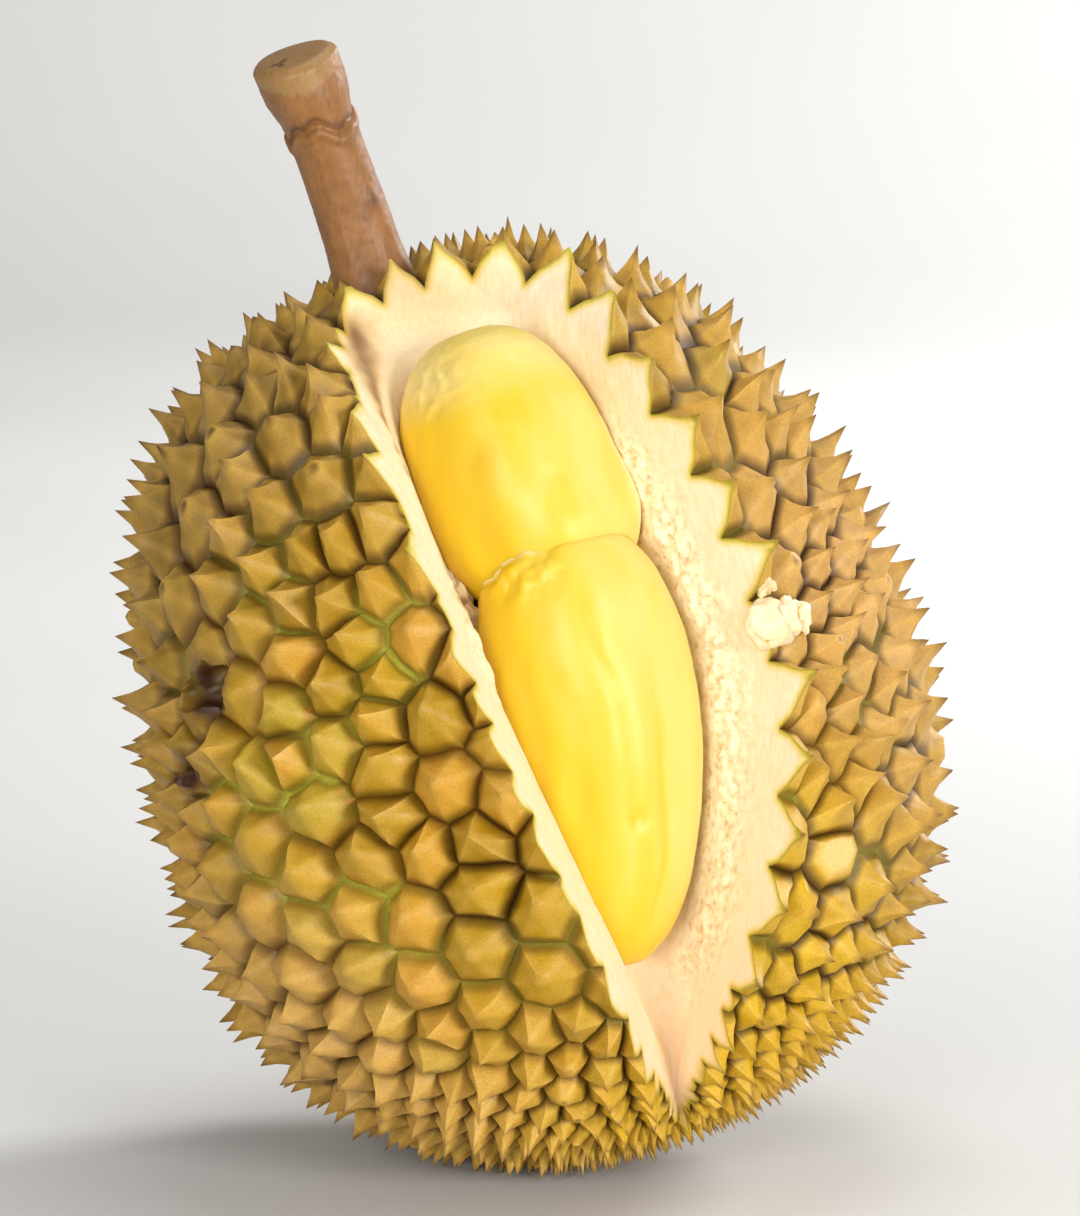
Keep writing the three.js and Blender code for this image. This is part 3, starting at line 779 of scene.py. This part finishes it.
def lower_detail(up, turn, point):
    """Creases along the lower pod, a pit in it, and the ragged top of its skin over the upper pod."""
    sunk = 0.35 + 0.35 * grain(point, 11, 2) + 0.1 * grain(point, 3.5, 3)
    sunk += crease_depth(LOWER_CREASES, LOWER_SEED, up, turn)
    sunk += 1.3 * bump((point - PIT).length, 0, 2.2)
    ragged = smooth(point.z, 34, 42) * (1 - smooth(point.x, 18, 30))
    sunk -= ragged * (0.5 + 1.5 * grain(point, 5, 11) + 0.8 * grain(point, 2, 12))
    return -sunk * smooth(1 - abs(up), 0, 0.06)


def upper_detail(up, turn, point):
    """Shallow creases along the upper pod, its torn upper end, and the side that runs into the lower one."""
    sunk = 0.3 + 0.35 * grain(point, 13, 6) + 0.1 * grain(point, 3.5, 7)
    sunk += crease_depth(UPPER_CREASES, UPPER_SEED, up, turn)
    sunk -= 3.6 * smooth(point.x, 10, 28) * (1 - smooth(point.z, 45, 64)) * (point.y < -34)
    torn = smooth(point.z, 80, 88) * (1 - 0.8 * smooth(point.x, 2, 18))
    sunk += torn * (1.5 * abs(grain(point, 5, 14)) + 0.9 * abs(grain(point, 2, 15)))
    return -sunk * smooth(1 - abs(up), 0, 0.06)


# ---- the stalk -----------------------------------------------------------------------------------------

def stalk_centre(t, extra=0.0):
    """The middle of the stalk, at the share t of the way from its root to its cut end."""
    total = STALK_LENGTH + STALK_ROOT + extra
    root = from_fruit(-2.5, 0, TOP_HEIGHT - STALK_ROOT - extra)
    bend = 1.4 * math.sin(math.pi * t)
    return root + Vector((STALK_TILT[0] * total * t + bend, -STALK_TILT[1] * total * t * t, total * t))


def crack_height(turn):
    """Where the ragged crack under the knob is, at a bearing round the stalk."""
    return 0.745 + 0.02 * math.sin(3 * turn + 1) + 0.012 * math.sin(7 * turn)


def stalk(rows, columns, extra=0.0, fine=False):
    cap = 0.9 if fine else 0.97  # share of the rows that climb the side; the rest cross the end

    def place(v, u):
        t = min(v / cap, 1)
        inward = max(v - cap, 0) / (1 - cap)
        knob = smooth(t, 0.74, 0.88) * (KNOB_RADIUS - STALK_RADIUS)
        turn = 2 * math.pi * u
        ring = crack_height(turn) if fine else 0.745
        crack = -0.9 * bump(t, ring, 0.01) + 0.7 * bump(t, ring - 0.03, 0.02)
        radius = STALK_RADIUS + knob + crack + extra + 0.8 * bump(t, 0.1, 0.1)
        uneven = 0.4 if extra else 0.35 * math.cos(3 * turn + 5 * t) + 0.3 * math.cos(2 * turn - 7 * t + 1)
        radius = (radius + uneven) - 1.6 * smooth(t, 0.975, 1) ** 2
        rise = 0.6 * math.sqrt(1 - (1 - inward) ** 2) if inward else 0
        radius *= 1 - inward
        centre = stalk_centre(t, extra)
        spot = Matrix.Rotation(2 * STALK_TILT[1] * t, 3, "X") @ Vector(
            (radius * math.cos(turn), radius * math.sin(turn), rise))
        if fine and not inward:
            away = Vector((math.cos(turn), math.sin(turn), 0))
            spot += away * (0.25 * grain(Vector((spot.x, spot.y, 18 * t)), 3.2, 5)
                            + 0.12 * grain(spot + UP * (60 * t), 1.4, 8) - 0.15
                            + 0.5 * bump((centre + spot - SCAB).length, 0, 2.6))
        return centre + spot
    return skin(rows, columns, place)


# ---- the place in the frame ----------------------------------------------------------------------------

def fruit_place():
    """The fruit's own frame put in the part's, in metres. The part's origin is under the middle of the whole
    footprint, and its shift from the fruit's centre is read off the lower pod's solid."""
    upright = (Matrix.Diagonal((MM, MM, MM, 1)) @ Matrix.Translation((0, 0, CENTRE_HEIGHT))
               @ Matrix.Rotation(-LEAN, 4, "Y"))
    surface = pod_surface(LOWER_POD)
    spots = [upright @ surface(0.02 + 0.96 * i / POD_ROWS, k / POD_COLUMNS)
             for i in range(POD_ROWS + 1) for k in range(POD_COLUMNS)]
    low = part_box("flesh_lower")[0]
    shift = [low[k] - min(spot[k] for spot in spots) for k in (0, 1)]
    return Matrix.Translation((*shift, 0)) @ upright


PLACE = fruit_place()


def from_part(x, y, z):
    """A point of the part's frame, in millimetres, in the fruit's own."""
    return PLACE.inverted() @ Vector((x * MM, y * MM, z * MM))


PIT = from_part(25.5, -76.9, 101.3)
SCAB = from_part(-40, -9.6, 244.1)
CUT_END = from_part(-62, -13, 277)
CUT_FACES = (PLACE.to_3x3().inverted() @ Vector((-0.3, -0.55, 0.78))).normalized()

SCAR, SCAR_SHARE = from_part(66.1, -71.2, 87.4), 0.42  # a spine that is cut off, and how far up it

# Uneven lumps, as the middle, the half-sizes, how rough they are and a seed, and the material of their skin
WOUNDS = [  # bored or torn out of the rind
    (from_part(-80.5, -60, 130), (9.5, 8, 6.5), 0.4, 3, 0),
    (from_part(-87, -53.5, 107.6), (5.5, 5.5, 6), 0.3, 5, 0),
]
TORN_LUMPS = [  # of pith pulled up over the right cut, and of fibre left beside the flesh
    (from_part(56.5, -66.2, 147), (6, 3.4, 6.3), 0.26, 21, 1),
    (from_part(61.3, -66, 148.8), (2.4, 3.2, 5.2), 0.4, 22, 1),
    (from_part(64.4, -64, 148.6), (2.2, 2.6, 3.8), 0.45, 27, 1),
    (from_part(55.5, -64.5, 156.2), (2.2, 2, 2.4), 0.6, 24, 1),
    (from_part(-20, -50, 157.5), (1.8, 3, 4), 0.6, 36, 1),
    (from_part(-17.5, -51.5, 152), (2.4, 3, 4.5), 0.6, 30, 1),
    (from_part(-15.5, -53, 146.5), (2.6, 3, 4), 0.6, 33, 1),
    (from_part(-13, -54, 141), (2, 2.6, 3.5), 0.6, 39, 1),
]
LOW_ONES = [  # where the spines are low: the middle, how far round it, and how much lower
    (WOUNDS[0][0], 13, 0.85), (WOUNDS[1][0], 10, 0.8), (from_part(61, -65, 148), 10, 0.95),
    (from_part(-38, -28, 228), 15, 0.6),
]

# Soft round patches on the husk, in the part's frame: how strong, the middle, and how far round it
PATCHES = {
    "olive": [(1.5, -38, -75, 110, 52), (1, -15, -80, 60, 38), (0.8, 60, -60, 200, 30),
              (0.9, 76, -62, 118, 24)],
    "lime": [(1.3, -42, -75, 115, 40), (0.4, 60, -60, 120, 60)],
    # these patches keep the painted shade in the crevices full
    "deep_crevice_shade": [(1, -4, -85, 85, 20), (1, -22, -78, 135, 16)],
    "rosy": [(1.1, 92, -35, 155, 50), (0.8, -58, -55, 48, 34), (0.4, -15, -70, 20, 25)],
    "gold": [(1.2, 62, -60, 45, 36), (0.8, 60, -75, 90, 25), (0.7, 20, -60, 15, 30)],
    # khaki: a khaki tint on the left flank, partly painted shade
    "khaki_and_shade": [(1.3, -105, -20, 130, 65), (1, -78, -25, 195, 40)],
    "wound": [(2, -79.6, -58.5, 129.8, 6.5), (2, -86.2, -52, 107.6, 5)],
    "pink": [(1, 36, -62, 25, 40)],
    # stain: the first two are painted shade at the top of the cut and in the gap, the last three stains
    # round the torn lump
    "stain_and_shade": [(0.45, -21, -12, 221, 13), (0.5, -36, -21, 224, 12), (0.3, 60, -65, 148, 9),
              (0.3, 60, -66, 142, 6), (0.5, 56, -65, 157, 4)],
}


# ---- the pieces ----------------------------------------------------------------------------------------

def lump(middle, sizes, rough, seed, material_index):
    bm = bmesh.new()
    bmesh.ops.create_icosphere(bm, subdivisions=LUMP_STEPS, radius=1)
    for vert in bm.verts:
        way = vert.co.copy()
        grow = 1 + rough * (grain(way, 0.8, seed) + 0.5 * grain(way, 0.35, seed + 1))
        vert.co = middle + Vector(a * b for a, b in zip(way, sizes)) * grow
    for face in bm.faces:
        face.material_index = material_index
    return bm


def levelled(mesh):
    """Cuts the husk off at the surface that it stands on and adds the torn lumps. It gives how many vertices
    the husk has without them."""
    bm = bmesh.new()
    bm.from_mesh(mesh)
    bmesh.ops.bisect_plane(bm, geom=bm.verts[:] + bm.edges[:] + bm.faces[:], plane_co=(0, 0, 0),
                           plane_no=(0, 0, -1), clear_outer=True)
    bmesh.ops.holes_fill(bm, edges=[e for e in bm.edges if e.is_boundary])
    bmesh.ops.dissolve_degenerate(bm, edges=bm.edges, dist=1e-6)
    bmesh.ops.triangulate(bm, faces=bm.faces)
    grown = len(bm.verts)
    for spot in TORN_LUMPS:
        more = lump(*spot)
        bmesh.ops.transform(more, matrix=PLACE, verts=more.verts)
        loose = bpy.data.meshes.new("lump")
        more.to_mesh(loose)
        more.free()
        bm.from_mesh(loose)
        bpy.data.meshes.remove(loose)
    bm.to_mesh(mesh)
    bm.free()
    return grown


def paint_spines(mesh, whole, sites, grown):
    """How far each vertex is up its spine, how deep it lies under the skin, and its spine's own tone, all
    from the nearest point of the whole skin. It gives the depths."""
    share = whole.verts.layers.float["share"]
    spine = whole.faces.layers.int["spine"]
    tree = BVHTree.FromBMesh(whole)
    chance = Chance(577)
    tones = [chance.draw() for _ in sites]
    scar = spine_at(sites, SCAR)
    rise, depth, tone, bare = [], [], [], []
    for vert in mesh.vertices:
        spot, _, index, away = tree.find_nearest(vert.co)
        face = whole.faces[index]
        a, b, c = face.verts
        near = [(b.co - spot).cross(c.co - spot).length, (c.co - spot).cross(a.co - spot).length,
                (a.co - spot).cross(b.co - spot).length]
        total = sum(near) or 1
        rise.append(sum(w * v[share] for w, v in zip(near, (a, b, c))) / total)
        depth.append(away / (10 * MM) if vert.index < grown else 1)
        tone.append(tones[face[spine]])
        bare.append(face[spine] == scar and rise[-1] > SCAR_SHARE)
    for name, values in (("rise", rise), ("depth", depth), ("tone", tone), ("bare", bare)):
        set_attribute(mesh, name, values)
    return depth


def hollowness(mesh):
    """How far the surface is hollow at each vertex, or ridged where it is below 0, from the slopes of its
    edges against its normal."""
    points = points_of(mesh)
    normals = np.empty(len(points) * 3, dtype=np.float32)
    mesh.vertices.foreach_get("normal", normals)
    normals = normals.reshape(-1, 3)
    edges = np.empty(len(mesh.edges) * 2, dtype=np.int32)
    mesh.edges.foreach_get("vertices", edges)
    edges = edges.reshape(-1, 2)
    along = points[edges[:, 1]] - points[edges[:, 0]]
    length = np.linalg.norm(along, axis=1)
    long_enough = length > SHORTEST_EDGE * MM
    edges, along = edges[long_enough], (along / np.maximum(length, 1e-9)[:, None])[long_enough]
    hollow, count = np.zeros(len(points)), np.full(len(points), 1e-6)
    for end, sign in ((0, 1), (1, -1)):
        np.add.at(hollow, edges[:, end], sign * np.einsum("ij,ij->i", along, normals[edges[:, end]]))
        np.add.at(count, edges[:, end], 1)
    return hollow / count


def patched(mesh, name):
    """How strong the patches of a name are at each vertex."""
    x, y, z = (points_of(mesh) / MM).T
    return sum(strength * np.exp(-(((x - cx) ** 2 + (y - cy) ** 2 + (z - cz) ** 2) / size ** 2))
               for strength, cx, cy, cz, size in PATCHES[name])


def gap_shade(mesh):
    """Painted brown shade in the narrow gap between the left cut and the upper pod, widest at its top."""
    home = PLACE.inverted()
    gap = []
    for vert in mesh.vertices:
        spot = home @ vert.co
        high = vert.co.z / MM
        _, index, away = TORN.find(spot)
        wide = 1.2 + 5 * smooth(high, 190, 207)
        gap.append(bump(away + 1.5 * grain(spot, 4, 41), 0, wide) * smooth(high, 140, 150)
                   * (1 - smooth(high, 212, 222)) if index >= TORN_STEPS else 0)
    return np.array(gap)


def paint_husk(mesh, depth):
    """The husk's ridges, partly a painted highlight, its crevices, darkened with painted shade, its torn
    pith and patches of colour, some of them painted shade.
    """
    home = PLACE.inverted()
    hollow = hollowness(mesh)
    # Convex ridges are painted paler, partly as a highlight and partly their own paler colour
    set_attribute(mesh, "ridge", 0.5 * np.clip(-hollow * 3.2 - 0.15, 0, 1))
    set_attribute(mesh, "torn", [min(1.0, 1.3 * torn_share(home @ vert.co)) if away > 0.1 else 0.0
                                 for vert, away in zip(mesh.vertices, depth)])
    olive = np.clip(patched(mesh, "olive"), 0, 1)
    lime = np.array([smooth(grain(home @ vert.co, 24), -0.12, 0.2) for vert in mesh.vertices])
    set_attribute(mesh, "olive", olive)
    set_attribute(mesh, "lime", np.clip(lime * (0.05 + patched(mesh, "lime")), 0, 0.85))
    # Painted shade at the spines' feet and in the hollows: lighter on the olive front, full again in the
    # deep crevice patches
    less_crevice_shade = olive * (1 - patched(mesh, "deep_crevice_shade"))
    set_attribute(mesh, "foot_shade", 0.95 - 0.5 * less_crevice_shade)
    set_attribute(mesh, "hollow_shade", np.clip(hollow * 3.2 - 0.1, 0, 1) * (0.85 - 0.55 * less_crevice_shade))
    for name, most in (("rosy", 1), ("gold", 1), ("khaki_and_shade", 1), ("wound", 0.95), ("pink", 0.6)):
        set_attribute(mesh, name, np.clip(patched(mesh, name), 0, most))
    set_attribute(mesh, "stain_and_shade", np.clip(0.85 * gap_shade(mesh) + patched(mesh, "stain_and_shade"), 0, 0.95))


def make_husk(rind, pith):
    bm, sites = spiny_skin()
    whole = bm.copy()
    bmesh.ops.transform(whole, matrix=PLACE, verts=whole.verts)
    whole.verts.ensure_lookup_table()
    whole.faces.ensure_lookup_table()
    husk = piece(bm, "husk_shell", rind, pith)
    cut(husk, piece(opening_cutter(), "opening"),
        piece(pod(LOWER_POD, POD_GAP, lower_detail), "lower_bed"),
        piece(pod(UPPER_POD, POD_GAP, upper_detail), "upper_bed"),
        piece(stalk(*STALK_BED_GRID, GAP), "stalk_bed"),
        *[piece(lump(*wound), "wound") for wound in WOUNDS])
    mesh = husk.data
    for name in ("share", "spine"):
        if name in mesh.attributes:
            mesh.attributes.remove(mesh.attributes[name])
    grown = levelled(mesh)
    depth = paint_spines(mesh, whole, sites, grown)
    whole.free()
    paint_husk(mesh, depth)
    mesh.shade_smooth()
    mesh.set_sharp_from_angle(angle=math.radians(50))
    return husk


def make_pods(flesh):
    lower = piece(pod(LOWER_POD, 0, lower_detail), "pod_lower", flesh)
    upper = piece(pod(UPPER_POD, 0, upper_detail), "pod_upper", flesh)
    cut(upper, piece(pod(LOWER_POD, POD_GAP, lower_detail), "seat"))
    upper_tree = BVHTree.FromPolygons([v.co for v in upper.data.vertices],
                                      [tuple(f.vertices) for f in upper.data.polygons])
    for made, spec, creases, seed, left in ((lower, LOWER_POD, LOWER_CREASES, LOWER_SEED, -16),
                                            (upper, UPPER_POD, UPPER_CREASES, UPPER_SEED, -36)):
        mesh = made.data
        # The flesh is palest towards the right, golden down its left side and richer in its creases: partly
        # its own colour, partly painted light on the right and painted shade on the left and in the creases
        start, end = from_fruit(*spec["lower"]), from_fruit(*spec["upper"])
        axis, middle = (end - start).normalized(), start.lerp(end, 0.5)
        side = Vector((0, 1, 0)).cross(axis).normalized()
        back = axis.cross(side)
        deep, pale = [], []
        home = PLACE.inverted()
        for vert in mesh.vertices:
            away = home @ vert.co - middle
            up = away.dot(axis) / ((end - start).length / 2)
            turn = math.atan2(away.dot(back) / spec["depth"], away.dot(side) / spec["width"])
            slant = (vert.co.x / MM - left) / 52 + 0.25 * up
            deep.append(0.95 - slant + 0.35 * crease_depth(creases, seed, up, turn))
            # A pale rim on the lower pod along its seam with the upper one: torn skin, partly a painted
            # highlight
            rim = 0.0
            if made is lower and away.z + middle.z > 25:
                rim = 0.8 * bump(upper_tree.find_nearest(vert.co)[3] / MM, 0, 0.8)
            spot = away + middle
            rim *= 1 - smooth(spot.x, 14, 22)
            _, index, apart = TORN.find(spot)
            right = bump(apart + grain(spot, 2.5, 17), 0, 4.5) if index < TORN_STEPS and spot.z < 70 else 0
            top = 0.5 * smooth(spot.z, 80, 92) * (1 - 0.6 * smooth(spot.x, 2, 18))
            pale.append(max(right, rim if made is lower else top))
        set_attribute(mesh, "deep", np.clip(deep, 0, 1))
        set_attribute(mesh, "pale", pale)
        mesh.set_sharp_from_angle(angle=math.radians(60))
    return lower, upper


def make_stalk(bark):
    made = piece(stalk(*STALK_GRID, fine=True), "stalk_wood", bark)
    mesh = made.data
    home = PLACE.inverted()
    east = CUT_FACES.cross(UP).normalized()
    north = CUT_FACES.cross(east)
    mark, sawn = [], []
    for vert in mesh.vertices:
        spot = home @ vert.co
        t = (spot.z - stalk_centre(0).z) / (STALK_LENGTH + STALK_ROOT)
        away = spot - stalk_centre(t)
        turn = math.atan2(away.y, away.x)
        crack = 0.85 * bump(t, crack_height(turn), 0.011)
        scab = 0.7 * bump((spot - SCAB).length + 0.8 * grain(spot, 1.5, 31), 0, 2.4)
        # The end was cut with a knife, and its core shows as a dark mark with three points
        apart = spot - CUT_END
        x, y = apart.dot(east), apart.dot(north)
        core = math.hypot(x, y) / (1.5 + 0.9 * math.cos(3 * math.atan2(y, x) + 0.6))
        near = apart.dot(CUT_FACES)
        sawn.append(smooth(near + 0.7 * grain(spot, 4, 33), -4, -2.4))
        mark.append(max(crack, scab, 0.9 * (1 - smooth(core, 0.8, 1.25)) * (near > -4)))
    set_attribute(mesh, "mark", mark)
    set_attribute(mesh, "sawn", sawn)
    return made


rind = rind_material()
pith = pith_material()
flesh = flesh_material()
bark = bark_material()

husk = make_husk(rind, pith)
pod_lower, pod_upper = make_pods(flesh)
stalk_wood = make_stalk(bark)
for made, name, slot in ((husk, "husk", "husk"), (pod_lower, "flesh_lower", "flesh"),
                         (pod_upper, "flesh_upper", "flesh"), (stalk_wood, "stalk", "stalk")):
    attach(made, "root")
    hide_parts(name)


# ---- floor, light and camera ---------------------------------------------------------------------------

def sweep():
    """A pale floor that curves up into a backdrop."""
    half_run, half_width = 3.6, 4
    flat, bend = 1.9, 0.8  # metres behind the fruit where the floor begins to curve up, and how gently
    bm = bmesh.new()
    bmesh.ops.create_grid(bm, x_segments=1, y_segments=60, size=1)
    for vert in bm.verts:
        along = vert.co.y * half_run
        if along < flat:
            y, z = along, 0
        elif along < flat + bend * math.pi / 2:
            turn = (along - flat) / bend
            y, z = flat + bend * math.sin(turn), bend * (1 - math.cos(turn))
        else:
            y, z = flat + bend, bend + (along - flat - bend * math.pi / 2)
        vert.co = (vert.co.x * half_width, y, z)
    mesh = bpy.data.meshes.new("floor")
    bm.to_mesh(mesh)
    bm.free()
    mesh.shade_smooth()
    material, tree = new_material("matt_paper")
    place = node(tree, "ShaderNodeTexCoord").outputs["Object"]
    fibre = node(tree, "ShaderNodeTexNoise", {"Vector": place, "Scale": 3.0})
    colour = node(tree, "ShaderNodeValToRGB", {0: fibre.outputs["Fac"]}, stops=[
        (0.3, "#D4D3D0"), (0.7, "#D8D7D4")]).outputs[0]
    shader = node(tree, "ShaderNodeBsdfPrincipled", {"Base Color": colour, "Roughness": 0.9})
    node(tree, "ShaderNodeOutputMaterial", {"Surface": shader.outputs[0]})
    mesh.materials.append(material)
    made = bpy.data.objects.new("floor", mesh)
    bpy.context.collection.objects.link(made)


def lamp(name, place, target, size, power):
    light = bpy.data.lights.new(name, "AREA")
    light.shape = "DISK"
    light.size = size
    light.energy = power
    made = bpy.data.objects.new(name, light)
    made.location = place
    made.rotation_euler = (Vector(target) - Vector(place)).to_track_quat("-Z", "Y").to_euler()
    bpy.context.collection.objects.link(made)


def camera():
    target = Vector((0.0015, 0, 0.1406))
    elevation = math.radians(9)
    distance = 1.6
    seen = 0.305  # metres from the frame's foot to its top, at the target
    lens = bpy.data.cameras.new("camera")
    lens.sensor_width = 36
    lens.lens = 36 * distance / seen
    made = bpy.data.objects.new("camera", lens)
    made.location = target + Vector((0, -math.cos(elevation), math.sin(elevation))) * distance
    made.rotation_euler = (target - made.location).to_track_quat("-Z", "Y").to_euler()
    bpy.context.collection.objects.link(made)
    bpy.context.scene.camera = made


sweep()
camera()
lamp("key", (1.05, -1.35, 0.45), (0, 0, 0.13), 0.6, 21)
lamp("fill", (-0.5, -1.6, 0.5), (0, 0, 0.12), 0.7, 16)
lamp("top", (0.1, 0.2, 1.6), (0, 0.1, 0.1), 0.9, 7)
lamp("backdrop", (1.3, 1.1, 0.9), (0.6, 1.4, 0.1), 0.8, 44)
world = bpy.data.worlds.new("studio")
world.use_nodes = True
world.node_tree.nodes["Background"].inputs[0].default_value = linear("#F2F4F8")
world.node_tree.nodes["Background"].inputs[1].default_value = 0.3
bpy.context.scene.world = world
bpy.context.scene.view_settings.view_transform = "Standard"
